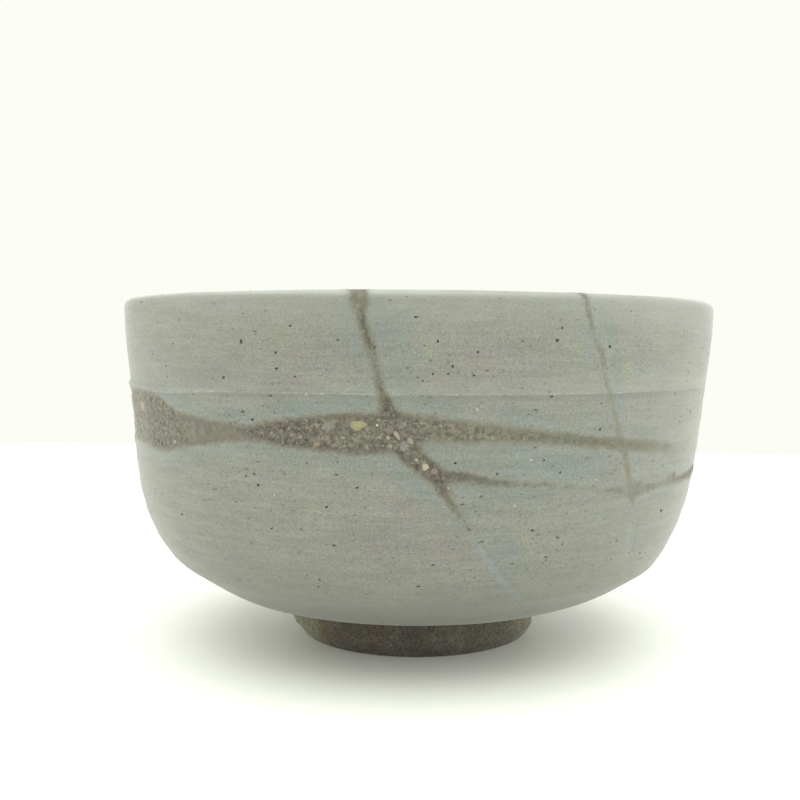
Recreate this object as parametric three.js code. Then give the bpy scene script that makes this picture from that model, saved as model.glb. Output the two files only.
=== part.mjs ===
// A tea bowl of glazed stoneware, thrown in one piece with its foot ring and a little out of round by hand.
// Millimetres, +Z up. The origin is in the middle of the foot ring's face, on the plane that the bowl stands on.
// The front of the bowl faces -Y and its right side +X.

import * as THREE from "three";
import { mergeVertices } from "three/addons/utils/BufferGeometryUtils.js";

// Lip
const height = 70.4; // foot face to the top of the lip, in front
const rimRadius = 61.5; // outside of the wall just under the lip
const lipThickness = 3.3;
const lipRound = 1.8; // height over which the lip is rounded
const rimFall = 0.5; // the rim is this much higher on the left and lower on the right

// Ridge that runs round the wall, with a slight hollow above it
const ridgeHeight = 53.6;
const ridgeInset = 1.05; // how far the ridge lies inside the rim
const ridgeStep = 0.12; // how far the hollow above it lies further in
const ridgeStepHeight = 1.0; // from the ridge up to the hollow
const ridgeSway = 0.33; // the ridge stands out this much more on the left and less on the right
const hollowSway = 0.12; // the same for the hollow
const wallThickness = 4.6; // at the ridge

// Hip, where the wall turns in to the underside
const hipRadius = 49.6;
const hipHeight = 16.35;
const hipTurnOut = 3.06; // from the hip out to the foot of the wall
const hipTurnUp = 3.14; // and up to it
const hipSoftness = 1.45; // the turn ends this much higher and further out on the left, and the reverse on the right
const hipThickness = 5.6;

// Foot ring, with a shallow hollow inside it
const footHeight = 8.0; // foot face to where the ring meets the underside
const footRadius = 24.9; // the ring's outer wall on the right
const footFlare = 2.3; // how much further that wall stands out on the left
const footFaceRadius = 24.1; // outer edge of the face that the bowl stands on
const footFaceWidth = 4.6;
const footBevel = 1.2; // height of the cut corner below the outer wall on the right
const footBevelMore = 1.9; // how much higher that corner is on the left
const footFillet = 2.1;
const recessDepth = 5.0;
const recessLean = 1.3; // how much narrower the hollow is at its top than at the face
const recessRound = 1.6; // rounding between its wall and its top
const recessLip = 0.4; // small cut corner on the inner edge of the face

// Floor of the inside, with a shallow pool in the middle where the last of the tea gathers
const floorThickness = 6.2; // at the foot ring's outer wall
const poolRadius = 18.5;
const poolSlant = 3.5; // width of the slanting edge of the pool
const poolDepth = 1.2;

// Slopes of the outline in degrees: 0 runs outwards and 90 upwards
const undersideSlope = 9;
const hipLowSlope = 33;
const hipHighSlope = 56.5;
const ridgeSlope = 83;
const rimSlope = 89;
const insideRidgeSlope = 265;
const insideHipSlope = 230;
const floorSlope = 183;

const segments = 64;

const ridgeRadius = rimRadius - ridgeInset;
const wallFootRadius = hipRadius + hipTurnOut;
const wallFootHeight = hipHeight + hipTurnUp;
const recessRadius = footFaceRadius - footFaceWidth;
const floorHeight = footHeight + floorThickness;

// A point of the outline with its slope. steps is the number of straight pieces that lead up to it, and the
// reaches are the lengths of the curve's handles before and after it, as shares of the distance between points.
function station(r, z, slope, steps, { before = 0.38, after = 0.38 } = {}) {
  return { at: new THREE.Vector2(r, z), slope: THREE.MathUtils.degToRad(slope), steps, before, after };
}

// The point at a distance from another one, in the direction of a slope in radians.
function onwards(from, slope, distance) {
  return new THREE.Vector2(Math.cos(slope), Math.sin(slope)).multiplyScalar(distance).add(from);
}

function curveBetween(start, end) {
  const span = start.at.distanceTo(end.at);
  const leaving = onwards(start.at, start.slope, start.after * span);
  const arriving = onwards(end.at, end.slope, -end.before * span);
  return new THREE.CubicBezierCurve(start.at, leaving, arriving, end.at);
}

// The outline on one side of the axis: from the axis under the foot out to the ring, up the outside, over the lip
// and down the inside to the axis again. side is -1 on the left, 0 in front and behind, and 1 on the right.
function outline(side) {
  const flare = ((1 - side) / 2) ** 2;
  const ringRadius = footRadius + footFlare * flare;
  const bevel = footBevel + footBevelMore * flare;
  const ridgeHere = ridgeRadius - ridgeSway * side;
  const wallFoot = new THREE.Vector2(wallFootRadius, wallFootHeight);
  const turnEnd = wallFoot.clone().addScalar(-hipSoftness * side);
  const insideHip = onwards(wallFoot, THREE.MathUtils.degToRad(insideHipSlope - 90), hipThickness);
  const stations = [
    station(0, recessDepth, 0),
    station(recessRadius - recessLean - recessRound, recessDepth, 0, 2),
    station(recessRadius - recessLean, recessDepth - recessRound, 270, 3),
    station(recessRadius - recessLip, recessLip, 270, 1),
    station(recessRadius, 0, 0, 1),
    station(footFaceRadius, 0, 0, 1, { after: 0 }),
    station(ringRadius, bevel, 90, 2, { before: 0 }),
    station(ringRadius, footHeight - footFillet, 90, 1),
    station(ringRadius + footFillet, footHeight, undersideSlope, 3, { after: 0.55 }),
    station(hipRadius, hipHeight, hipLowSlope, 7, { before: 0.47 }),
    station(turnEnd.x, turnEnd.y, hipHighSlope, 3, { after: 0.33 }),
    station(ridgeHere, ridgeHeight, ridgeSlope, 8, { before: 0.41 }),
    station(ridgeRadius - ridgeStep - hollowSway * side, ridgeHeight + ridgeStepHeight, ridgeSlope, 2),
    station(rimRadius, height - lipRound, rimSlope, 4),
    station(rimRadius - lipThickness / 2, height, 180, 3),
    station(rimRadius - lipThickness, height - lipRound, 270, 3),
    station(ridgeRadius - wallThickness, ridgeHeight, insideRidgeSlope, 2),
    station(insideHip.x, insideHip.y, insideHipSlope, 7, { after: 0.3 }),
    station(poolRadius, floorHeight, floorSlope, 6, { before: 0.45 }),
    station(poolRadius - poolSlant, floorHeight - poolDepth, 180, 3),
    station(0, floorHeight - poolDepth, 180, 2),
  ];
  const points = [stations[0].at];
  for (let i = 1; i < stations.length; i += 1) {
    points.push(...curveBetween(stations[i - 1], stations[i]).getPoints(stations[i].steps).slice(1));
  }
  return points.map((point) => new THREE.Vector2(point.x, point.y - drop(point.y, side)));
}

// How far a point lies lower on this side than in front. It grows from nothing at the hip to rimFall at the rim.
function drop(z, side) {
  const share = Math.max(0, (z - hipHeight) / (height - hipHeight));
  return rimFall * side * share ** 2.25;
}

// A lathe turned from the outline in front, with each of its columns then set to the outline at that place.
function turned() {
  const front = outline(0);
  const geometry = new THREE.LatheGeometry(front, segments);
  const position = geometry.getAttribute("position");
  for (let column = 0; column <= segments; column += 1) {
    const angle = (2 * Math.PI * column) / segments;
    outline(Math.sin(angle)).forEach((point, row) => {
      const index = column * front.length + row;
      position.setXYZ(index, point.x * Math.sin(angle), point.y, point.x * Math.cos(angle));
    });
  }
  geometry.deleteAttribute("normal");
  geometry.deleteAttribute("uv");
  const closed = mergeVertices(geometry, 1e-3);
  closed.rotateX(Math.PI / 2);
  closed.computeVertexNormals();
  return closed;
}

const glazedStoneware = new THREE.MeshStandardMaterial({ color: 0x9b9e92, roughness: 0.55, metalness: 0 });

const bowl = new THREE.Mesh(turned(), glazedStoneware);
bowl.name = "tea_bowl";

const teaBowl = new THREE.Group();
teaBowl.add(bowl);

export default teaBowl;
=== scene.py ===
"""A hand-thrown tea bowl with a matte grey-green ash glaze, crossed by bare bands of gritty clay.

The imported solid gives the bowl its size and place. A finer mesh with the same outline replaces it here, with
throwing lines, sunk bands, a rough foot, grit and iron specks. Lengths are in millimetres until a mesh is
made, and the front of the bowl faces -Y. Places on the front are given as pixels of the photo, 800 by 800.
"""

import math

import bmesh
import bpy
import numpy as np
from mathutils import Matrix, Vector, noise


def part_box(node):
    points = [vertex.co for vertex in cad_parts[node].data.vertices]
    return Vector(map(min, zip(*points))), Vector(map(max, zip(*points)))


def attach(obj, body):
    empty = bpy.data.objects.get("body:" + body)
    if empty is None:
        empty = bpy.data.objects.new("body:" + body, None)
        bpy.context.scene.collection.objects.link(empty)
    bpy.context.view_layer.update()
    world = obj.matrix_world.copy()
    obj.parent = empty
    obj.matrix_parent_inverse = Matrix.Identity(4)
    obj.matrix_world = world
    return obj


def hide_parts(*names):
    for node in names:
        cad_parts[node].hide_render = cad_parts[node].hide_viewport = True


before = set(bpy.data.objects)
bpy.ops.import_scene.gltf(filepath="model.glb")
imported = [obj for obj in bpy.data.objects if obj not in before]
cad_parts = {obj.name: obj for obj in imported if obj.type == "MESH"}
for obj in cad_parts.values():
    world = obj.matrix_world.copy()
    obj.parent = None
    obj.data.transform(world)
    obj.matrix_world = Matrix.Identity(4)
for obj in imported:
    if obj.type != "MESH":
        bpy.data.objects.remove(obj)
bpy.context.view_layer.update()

METRES = 0.001
NODE = "tea_bowl"
BODY = "root"

# Sizes of the outline, which are the solid's except where a comment says otherwise
solid_low, solid_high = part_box(NODE)
RIM_FALL = 0.5
RIM_RADIUS = (solid_high.x - solid_low.x) / 2 / METRES
HEIGHT = solid_high.z / METRES - RIM_FALL
LIP_THICKNESS = 3.3
LIP_ROUND = 1.8
RIDGE_HEIGHT = 53.6
RIDGE_INSET = 1.05
RIDGE_RADIUS = RIM_RADIUS - RIDGE_INSET
RIDGE_STEP = 0.12
RIDGE_STEP_HEIGHT = 1.0
RIDGE_SWAY = 0.33
RIDGE_DIP = 0.75  # the solid's ridge has no dip
RIDGE_DIP_AT = -50
RIDGE_DIP_WIDTH = 11
HOLLOW_SWAY = 0.12
WALL_THICKNESS = 4.6
HIP_RADIUS = 49.6
HIP_HEIGHT = 16.35
HIP_TURN_OUT = 3.06
HIP_TURN_UP = 3.14
HIP_SOFTNESS = 1.45
HIP_THICKNESS = 5.6
FOOT_HEIGHT = 8.0
FOOT_RADIUS = 24.9
FOOT_FLARE = 2.3
FOOT_FACE_RADIUS = 24.1
FOOT_FACE_WIDTH = 4.6
FOOT_FACE_SHIFT = 0.5  # to the left, where the solid's face isn't shifted
FOOT_BEVEL = 1.9  # 1.2 in the solid
FOOT_BEVEL_MORE = 1.2  # 1.9 in the solid
FOOT_FILLET = 2.1
RECESS_DEPTH = 5.0
RECESS_LEAN = 1.3
RECESS_ROUND = 1.6
RECESS_LIP = 0.4
FLOOR_THICKNESS = 6.2
FLOOR_HEIGHT = FOOT_HEIGHT + FLOOR_THICKNESS
POOL_RADIUS = 18.5
POOL_SLANT = 3.5
POOL_DEPTH = 1.2
HUB = 0.35  # radius of the smallest ring round the axis

# Slopes of the outline in degrees: 0 runs outwards and 90 upwards
UNDERSIDE_SLOPE = 9
HIP_LOW_SLOPE = 33
HIP_HIGH_SLOPE = 56.5
RIDGE_SLOPE = 83
RIM_SLOPE = 89
INSIDE_RIDGE_SLOPE = 265
INSIDE_HIP_SLOPE = 230
FLOOR_SLOPE = 183

# The camera of the photo
PHOTO_SIDE = 800
SENSOR = 36.0
LENS = 47.25
FOCAL = LENS / SENSOR * PHOTO_SIDE
CAMERA_DISTANCE = 228.35
CAMERA_HEIGHT = 61.75
CAMERA_PITCH = 0.0535
AXIS_X = 417.5
CAMERA_YAW = math.atan((AXIS_X - PHOTO_SIDE / 2) / FOCAL)

# Bare bands as strokes over the photo: x, y, half their width in pixels, and how bare the clay is
MAIN_BAND = [
    (134, 412, 23, 1), (142, 413.5, 22.5, 1), (150, 416.8, 22, 1), (158, 421, 22, 1), (166, 425.2, 20, 1),
    (173, 427.8, 17.5, 1), (181, 429.3, 15.6, 1), (190, 430.5, 13.8, 1), (200, 431, 11.6, 1),
    (215, 432.2, 9.3, 1), (230, 432.5, 7.3, 1), (245, 433, 5.8, 1), (265, 433, 8.6, 1), (285, 433.2, 12, 1),
    (300, 433.2, 13.8, 1), (330, 433.8, 17, 1), (350, 433.9, 19, 1), (370, 434, 18.5, 1), (395, 432, 17, 1),
    (412, 430.5, 14.5, 1), (430, 429.5, 11.2, 1), (450, 431.5, 9.8, 1), (475, 433, 9.2, 1),
    (500, 434.3, 7.3, 1), (520, 436, 6.1, 1), (545, 438, 5, 1), (570, 440, 4.3, 1), (600, 443, 4, 1),
    (630, 446, 4.7, 0.95), (652, 447, 4.6, 0.8), (668, 447.5, 3.6, 0.4), (684, 448, 1.5, 0),
]
FORK_BAND = [
    (392, 425, 8, 1), (398, 440, 9, 1), (408, 452, 9.5, 1), (418, 462, 8.5, 1), (428, 469, 8, 1),
    (437, 476, 7, 1), (446, 477.5, 5, 1), (458, 477, 3.4, 1), (470, 478.8, 2.8, 1), (482, 480.5, 2.2, 1),
    (496, 482.4, 1.5, 1), (511, 484, 0.5, 0.95), (526, 485, -0.6, 1), (546, 485, -0.3, 1),
    (562, 486.3, -0.8, 0.7), (580, 487, -0.9, 0.45), (593, 489.2, -0.7, 0.5), (606, 490, -0.3, 0.6),
    (625, 490, 1, 0.9), (640, 488.6, 1.3, 0.9), (655, 485.3, 1.2, 0.9), (668, 481.6, 0.8, 0.75),
    (680, 478, 1.6, 1), (689, 472.5, 1.8, 1),
]
DOWN_BAND = [
    (437, 478, 4, 1), (441, 487, 3.6, 0.95), (448, 498, 3, 0.7), (454.5, 508, 1.8, 0.68),
    (460.5, 517, 1, 0.68), (467, 527, 0.4, 0.5), (473, 537, 0, 0.2), (479, 546, 0, 0),
]
LEFT_DROP = [
    (357.5, 288, 8.5, 0.95), (359.4, 298, 7.8, 1), (360.5, 312, 4, 1), (365, 331, 3.5, 0.9),
    (371, 350, 3.8, 0.65), (376.7, 371, 2.7, 0.5), (380.8, 390, 3.2, 0.85), (384.5, 400, 3.8, 0.95),
    (389, 411, 6.5, 1), (392, 420, 8, 1),
]
RIGHT_DROP = [
    (577, 291, 0.6, 1), (585.8, 298, 0.6, 1), (588, 311, 0.6, 1), (590.8, 322, 0.1, 1),
    (593.6, 338, -0.6, 0.55), (602, 355, 0.6, 1), (604, 371, -0.4, 0.6), (609, 392, 0.1, 0.85),
    (612.6, 408, 0.1, 0.9), (616.8, 424, 0.4, 0.95), (621, 440, 0.6, 0.9), (624.5, 458, 1.2, 0.9),
    (628, 474, 0.9, 0.9), (630, 490, 1.3, 0.9), (632, 500, 0.6, 0.6), (633, 512, 0.2, 0),
]
SCRATCH = [(646, 464.2, -3, 0.2), (668, 462.3, -2.6, 0.6), (690, 460.6, -2.6, 0.6)]
SMUDGE = [(668, 478, 1, 1), (674, 475, 0.8, 0.8)]
WEB = [(622, 489, 2.5, 0.2), (629, 489, 5, 0.5), (637, 490, 5, 0.5), (645, 489, 2.5, 0.2)]

# The parts of the bands where grains of sand lie bare: x, y, half width and how thickly they lie
GRITTY = [
    [(136, 412, 22, 0.5), (150, 416, 25, 0.7), (163, 422, 23, 0.8), (178, 429, 15, 0.6),
     (192, 431, 9, 0.15)],
    [(238, 431, 6, 0.35), (262, 431, 8, 0.8), (290, 434, 14, 1), (330, 434, 16, 1), (370, 434, 16, 1),
     (400, 434, 15, 1), (430, 431, 10, 0.8), (470, 434, 9, 0.6), (520, 437, 6.5, 0.45), (565, 440, 5, 0.35),
     (615, 444, 4, 0.25), (650, 447, 3, 0.1)],
    [(396, 434, 9, 1), (408, 452, 9, 1), (418, 462, 8, 1), (430, 471, 7, 1), (441, 478, 6, 0.8),
     (462, 478, 4, 0.5), (490, 482, 2.5, 0.3)],
    [(361, 312, 5, 0.5), (371, 350, 4, 0.6), (380, 390, 4, 0.6), (389, 411, 7, 0.9)],
]

# The parts where the bare clay is paler: x, y, half width and how pale
PALE = [
    [(132, 412, 30, 1), (144, 414, 30, 0.95), (153, 416, 30, 0.5), (165, 420, 26, 0.5),
     (180, 428, 18, 0.45), (200, 431, 12, 0.35), (230, 432, 9, 0.45), (250, 432, 8, 0.3),
     (272, 433, 12, 0.1)],
    [(316, 434, 18, 0), (336, 434, 18, 0.3), (400, 432, 16, 0.2), (430, 430, 14, 0.45), (455, 432, 12, 0.4),
     (485, 434, 12, 0.55), (530, 437, 11, 0.35), (600, 442, 10, 0.25), (630, 445, 9, 0.4),
     (660, 446, 8, 0.8)],
    [(357, 286, 11, 0.6), (361, 312, 8, 0.2), (371, 350, 7, 0.1), (377, 372, 7, 0.25), (381, 388, 7, 0)],
    [(575, 291, 5, 0.2), (601, 355, 5, 0.1), (619, 424, 5, 0.7), (630, 490, 6, 0.8)],
    [(650, 486, 7, 0.4), (668, 482, 7, 0.7), (680, 478, 7, 0.3)],
]

# The parts where the bare clay is green: x, y, half width and how green
GREEN = [
    [(357, 286, 14, 1), (366, 331, 12, 1), (380, 385, 11, 0.8), (388, 408, 9, 0.2)],
    [(575, 291, 6, 0.8), (601, 355, 6, 0.8), (619, 424, 6, 0.8), (630, 490, 7, 0.9)],
    [(430, 431, 13, 0.3), (470, 433, 13, 0.7), (500, 436, 14, 0.7), (560, 440, 12, 0.8),
     (660, 447, 10, 0.8)],
    [(450, 500, 10, 0.4), (462, 518, 8, 0.7)],
    [(490, 482, 8, 0.5), (546, 487, 6, 0.9), (668, 481, 8, 0.9)],
]

# Places where the glaze has pooled and is bluer: x, y, half width and how blue
POOLED = [
    [(392, 300, 10, 0.4), (397, 330, 15, 0.8), (402, 360, 16, 0.8), (406, 392, 13, 0.6)],
    [(466, 461, 8, 0.6), (520, 463, 13, 1), (570, 468, 14, 1), (606, 470, 10, 0.6)],
    [(478, 500, 10, 0.5), (500, 530, 13, 0.7), (506, 560, 13, 0.8), (500, 588, 11, 0.7)],
]

# Pale lines where the glaze has run together in a shallow groove: x, y, half width and strength
DOWN_LINE = [
    (462, 522, 1.6, 0.3), (472, 537, 2.2, 0.8), (482, 552, 2.4, 1), (498, 577, 2.4, 1),
    (514, 594, 2.2, 0.9), (532, 609, 2, 0.5),
]
RIGHT_LINE = [
    (633, 506, 1.8, 0.3), (633, 520, 2, 0.7), (631, 542, 2, 0.7), (627, 565, 2, 0.5), (618, 588, 2, 0.2),
]
RIGHT_STRIP = [
    (608, 300, 5, 0.5), (611, 330, 6, 0.8), (615, 360, 6, 0.9), (619, 390, 5, 0.7), (623, 415, 4, 0.4),
]

# Stones that show by themselves: x, y, half length round the bowl and up it in mm, turn in degrees, colour
STONES = [
    (358, 426, 1.5, 0.85, 4, (176, 171, 126)), (425.6, 467.3, 0.62, 0.66, 20, (204, 196, 168)),
    (416.5, 460.4, 0.34, 0.34, 0, (196, 188, 160)), (434.8, 471.9, 0.62, 0.6, 50, (160, 140, 134)),
    # The near-white stone at x 377 stands in for a glint: a painted highlight
    (377, 425.6, 0.24, 0.24, 0, (226, 224, 214)), (396.6, 435.2, 0.34, 0.95, 30, (186, 180, 156)),
    (403.5, 446.7, 0.85, 0.95, 10, (150, 148, 142)), (316, 444.6, 0.7, 0.6, 0, (164, 146, 118)),
    (323.7, 448.2, 0.36, 0.36, 0, (134, 108, 92)), (327.7, 425.9, 1.15, 0.75, 0, (146, 148, 132)),
    (141.9, 406.4, 1.1, 1.0, 0, (190, 176, 158)), (454, 432, 0.7, 0.55, 0, (150, 136, 108)),
    (410, 441, 0.45, 0.7, 40, (168, 166, 156)), (300, 437, 0.4, 0.35, 0, (168, 158, 136)),
    (343, 438, 0.4, 0.35, 0, (170, 162, 142)), (388, 438, 0.4, 0.4, 0, (176, 170, 150)),
    (271, 433, 0.35, 0.3, 0, (164, 154, 130)), (288, 429, 0.35, 0.35, 0, (158, 148, 130)),
    (157.5, 441, 0.7, 0.4, 20, (92, 90, 82)), (161.5, 444, 0.6, 0.5, -30, (88, 86, 78)),
    (163, 423, 0.4, 0.32, 0, (108, 108, 98)), (174, 441.5, 0.6, 0.34, 10, (176, 176, 164)),
    (166.5, 422.5, 0.4, 0.5, 0, (150, 157, 148)), (150, 398, 0.5, 0.4, 30, (122, 118, 104)),
    (147, 428, 0.6, 0.45, 0, (170, 168, 150)), (283, 428, 0.45, 0.3, 0, (84, 78, 68)),
    (297, 432, 0.5, 0.35, 30, (86, 80, 70)), (306, 440, 0.4, 0.3, 0, (82, 76, 66)),
]

# The largest iron specks: x, y, half length round the bowl and up it in mm, turn in degrees
LARGE_SPECKS = [
    (240.8, 341, 0.28, 0.5, 0), (557.3, 340.5, 0.34, 0.36, 20), (661, 510.5, 0.6, 0.42, 0),
    (276.5, 368.6, 0.34, 0.2, 10), (416.3, 316.9, 0.36, 0.2, 0), (437.9, 341, 0.24, 0.26, 0),
    (477.8, 352.1, 0.24, 0.22, 0), (610, 346.4, 0.3, 0.3, 0), (326.6, 507, 0.38, 0.18, 30),
    (271.7, 528.4, 0.36, 0.16, 10), (418.4, 586.4, 0.4, 0.2, 0), (532.3, 530.7, 0.42, 0.2, 0),
    (455.3, 463.1, 0.3, 0.26, 0), (252.7, 419.6, 0.32, 0.26, 0), (600, 429.4, 0.28, 0.24, 0),
    (223.5, 377.6, 0.28, 0.26, 0), (258.1, 485, 0.34, 0.28, 0), (245.7, 476, 0.24, 0.22, 0),
    (290.2, 326, 0.24, 0.2, 0), (275.5, 352.7, 0.26, 0.2, 0), (294.9, 376.5, 0.22, 0.2, 0),
    (270.4, 395.5, 0.34, 0.18, 20), (562.3, 327.5, 0.24, 0.24, 0), (452.7, 366.3, 0.2, 0.24, 0),
    (433, 374.1, 0.2, 0.22, 0), (473.9, 375.6, 0.3, 0.16, 0), (551.8, 396.5, 0.4, 0.14, 0),
    (560.5, 472.5, 0.22, 0.22, 0), (482, 542, 0.3, 0.18, 10), (182.2, 514.6, 0.24, 0.26, 0),
    (357.2, 487.8, 0.3, 0.16, 0), (640.1, 553.2, 0.26, 0.22, 0), (319.9, 579.7, 0.26, 0.2, 0),
]

# Pale specks: x, y and half their length round the bowl in mm
PALE_SPECKS = [
    (274, 495.5, 0.3), (476.9, 409.6, 0.3), (530.9, 460, 0.34), (443.8, 507, 0.28), (514.4, 506, 0.4),
    (596, 480, 0.4), (488, 310, 0.26), (306, 394, 0.24), (448, 488, 0.24),
]

# The same strokes where the photo doesn't reach: degrees round from the front, height, half width, strength
BACK_MAIN = [
    (-80, 48.3, 5.4, 1), (-90, 48.0, 5.0, 1), (-100, 47.9, 4.0, 1), (-112, 47.4, 2.8, 1),
    (-128, 46.4, 2.0, 1), (-146, 45.2, 1.6, 0.95), (-162, 44.0, 1.8, 0.95), (-178, 42.2, 1.5, 0.9),
    (-196, 40.6, 1.0, 0.9), (-214, 39.4, 0.8, 0.85), (-232, 38.6, 0.6, 0.85), (-250, 38.2, 0.5, 0.9),
    (-268, 38.1, 0.45, 0.9), (-280, 38.4, 0.45, 0.9),
]
BACK_DROP = [
    (-148, 71.5, 0.9, 0.7), (-150, 66, 0.7, 0.85), (-153, 58, 0.6, 0.9), (-157, 50, 0.7, 0.9),
    (-161, 42, 0.7, 0.8), (-166, 34, 0.5, 0.6), (-172, 27, 0.4, 0.2), (-176, 23, 0.3, 0),
]
BACK_GRITTY = [
    (-76, 48.0, 4.6, 0.5), (-84, 47.6, 4.4, 0.5), (-98, 47.7, 3.4, 0.5), (-114, 47.4, 2.0, 0),
]
BACK_PALE = [
    (-70, 48.5, 8.0, 1), (-80, 48.4, 8.0, 0.85), (-90, 48.2, 8.0, 0.6), (-104, 47.8, 8.0, 0.25),
    (-122, 46.8, 8.0, 0),
]

# Colours as bytes, as they look under the studio's light
GLAZE = (160, 162, 147)
GLAZE_BLUE = (149, 158, 151)
GLAZE_PINK = (159, 158, 149)
GLAZE_EDGE = (165, 166, 148)
GLAZE_LINE = (158, 168, 164)
# Painted light: the band just above the ridge
GLAZE_RIDGE_LIGHT = (186, 188, 176)
# Painted highlight: on the lip and, mixed with thinner glaze, on the ridge line
GLAZE_HIGHLIGHT = (208, 213, 206)
GLAZE_RIM = (184, 188, 177)
# Painted shade: the lower body, darker towards the bottom
GLAZE_LOW_SHADE = (134, 137, 125)
GLAZE_SHADE = (130, 133, 124)
SPECK = (52, 50, 42)
WHITE_SPECK = (206, 208, 194)
CLAY_EDGE = (110, 102, 88)
CLAY_GREEN = (106, 109, 91)
CLAY_SOFT = (131, 128, 111)
CLAY_OLIVE = (138, 139, 118)
CLAY_LILAC = (136, 131, 124)
CLAY_PALE = (168, 166, 147)
CLAY_BROWN = (124, 113, 98)
GRAIN_DARK = (78, 73, 62)
GRAIN_BROWN = (118, 110, 94)
GRAIN_GREY = (148, 146, 132)
GRAIN_CREAM = (180, 173, 150)
FOOT = (97, 93, 85)
FOOT_BROWN = (109, 99, 87)
FOOT_OLIVE = (122, 114, 72)
FOOT_GREY = (119, 115, 106)
# Painted light: the foot's ends, where light grazes them
FOOT_PAINTED_LIGHT = (160, 158, 132)
FLOOR = (246, 248, 243)
BACKDROP = (252, 253, 245)
STUDIO_LIGHT = 1.8

COLUMNS = 560
FRONT_CROWDING = 0.34  # share by which the columns lie closer together in front
FAR = 30.0
REFERENCE_RADIUS = 60.0  # places round the bowl are lengths of arc on this radius
FULL_TURN = 2 * math.pi * REFERENCE_RADIUS


def linear(colour, light=STUDIO_LIGHT):
    """A colour given in bytes, as it looks under the light, as a shader's colour."""
    shares = [c / 255 for c in colour]
    brightness = [s / 12.92 if s <= 0.04045 else ((s + 0.055) / 1.055) ** 2.4 for s in shares]
    return tuple(b / light for b in brightness) + (1.0,)


def smooth(low, high, value):
    """0 below low, 1 above high, and a smooth rise between them."""
    share = np.clip((value - low) / (high - low), 0, 1)
    return share * share * (3 - 2 * share)


# The grid of the bowl's surface

def column_angles():
    """Angles from the front, counted towards the right, closer together at the front."""
    turns = np.arange(COLUMNS) / COLUMNS * 2 * math.pi
    return turns - FRONT_CROWDING * np.sin(turns)


def station(radius, height, slope, spacing=None, before=0.38, after=0.38, stride=1):
    """A point of the outline. Rows lead up to it at that spacing, with every stride-th column kept."""
    return dict(radius=radius, height=height, slope=math.radians(slope), spacing=spacing, before=before,
                after=after, stride=stride)


def stations(side):
    """The outline from the axis under the foot, up the outside, over the lip and down the inside."""
    flare = ((1 - side) / 2) ** 2
    ring = FOOT_RADIUS + FOOT_FLARE * flare
    bevel = FOOT_BEVEL + FOOT_BEVEL_MORE * flare
    recess = FOOT_FACE_RADIUS - FOOT_FACE_WIDTH
    face = FOOT_FACE_RADIUS - FOOT_FACE_SHIFT * side
    degrees = np.degrees(ANGLES) - 360 * (ANGLES > math.pi)
    ridge_height = RIDGE_HEIGHT - RIDGE_DIP * np.exp(-((degrees - RIDGE_DIP_AT) / RIDGE_DIP_WIDTH) ** 2)
    hollow = RIDGE_RADIUS - RIDGE_STEP - HOLLOW_SWAY * side
    hip_out, hip_up = HIP_RADIUS + HIP_TURN_OUT, HIP_HEIGHT + HIP_TURN_UP
    softer = HIP_SOFTNESS * side
    inward = math.radians(INSIDE_HIP_SLOPE - 90)
    inside_out = hip_out + HIP_THICKNESS * math.cos(inward)
    inside_up = hip_up + HIP_THICKNESS * math.sin(inward)
    return [
        station(HUB, RECESS_DEPTH, 0),
        station(recess - RECESS_LEAN - RECESS_ROUND, RECESS_DEPTH, 0, 1.6, stride=4),
        station(recess - RECESS_LEAN, RECESS_DEPTH - RECESS_ROUND, 270, 0.5, stride=4),
        station(recess - RECESS_LIP, RECESS_LIP, 270, 0.8, stride=4),
        station(recess, 0, 0, 0.3, stride=4),
        station(face, 0, 0, 0.9, after=0, stride=2),
        station(ring, bevel, 90, 0.4, before=0, stride=2),
        station(ring, FOOT_HEIGHT - FOOT_FILLET, 90, 0.6, stride=2),
        station(ring + FOOT_FILLET, FOOT_HEIGHT, UNDERSIDE_SLOPE, 0.5, after=0.55, stride=2),
        station(HIP_RADIUS, HIP_HEIGHT, HIP_LOW_SLOPE, 0.95, before=0.47),
        station(hip_out - softer, hip_up - softer, HIP_HIGH_SLOPE, 0.75, after=0.33),
        station(RIDGE_RADIUS - RIDGE_SWAY * side, ridge_height, RIDGE_SLOPE, 0.56, before=0.41),
        station(hollow, ridge_height + RIDGE_STEP_HEIGHT, RIDGE_SLOPE, 0.3),
        station(RIM_RADIUS, HEIGHT - LIP_ROUND, RIM_SLOPE, 0.6),
        station(RIM_RADIUS - LIP_THICKNESS / 2, HEIGHT, 180, 0.45),
        station(RIM_RADIUS - LIP_THICKNESS, HEIGHT - LIP_ROUND, 270, 0.5),
        station(RIDGE_RADIUS - WALL_THICKNESS, RIDGE_HEIGHT, INSIDE_RIDGE_SLOPE, 1.0, stride=4),
        station(inside_out, inside_up, INSIDE_HIP_SLOPE, 1.3, after=0.3, stride=4),
        station(POOL_RADIUS, FLOOR_HEIGHT, FLOOR_SLOPE, 1.5, before=0.45, stride=4),
        station(POOL_RADIUS - POOL_SLANT, FLOOR_HEIGHT - POOL_DEPTH, 180, 0.6, stride=4),
        station(HUB, FLOOR_HEIGHT - POOL_DEPTH, 180, 1.6, stride=4),
    ]


def between(start, end, share):
    """The point at a share of the way along the curve from one station to the next."""
    span = np.hypot(end["radius"] - start["radius"], end["height"] - start["height"])
    points = []
    for key, turn in (("radius", math.cos), ("height", math.sin)):
        leaving = start[key] + start["after"] * span * turn(start["slope"])
        arriving = end[key] - end["before"] * span * turn(end["slope"])
        rest = 1 - share
        points.append(rest ** 3 * start[key] + 3 * rest ** 2 * share * leaving
                      + 3 * rest * share ** 2 * arriving + share ** 3 * end[key])
    return points


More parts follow.
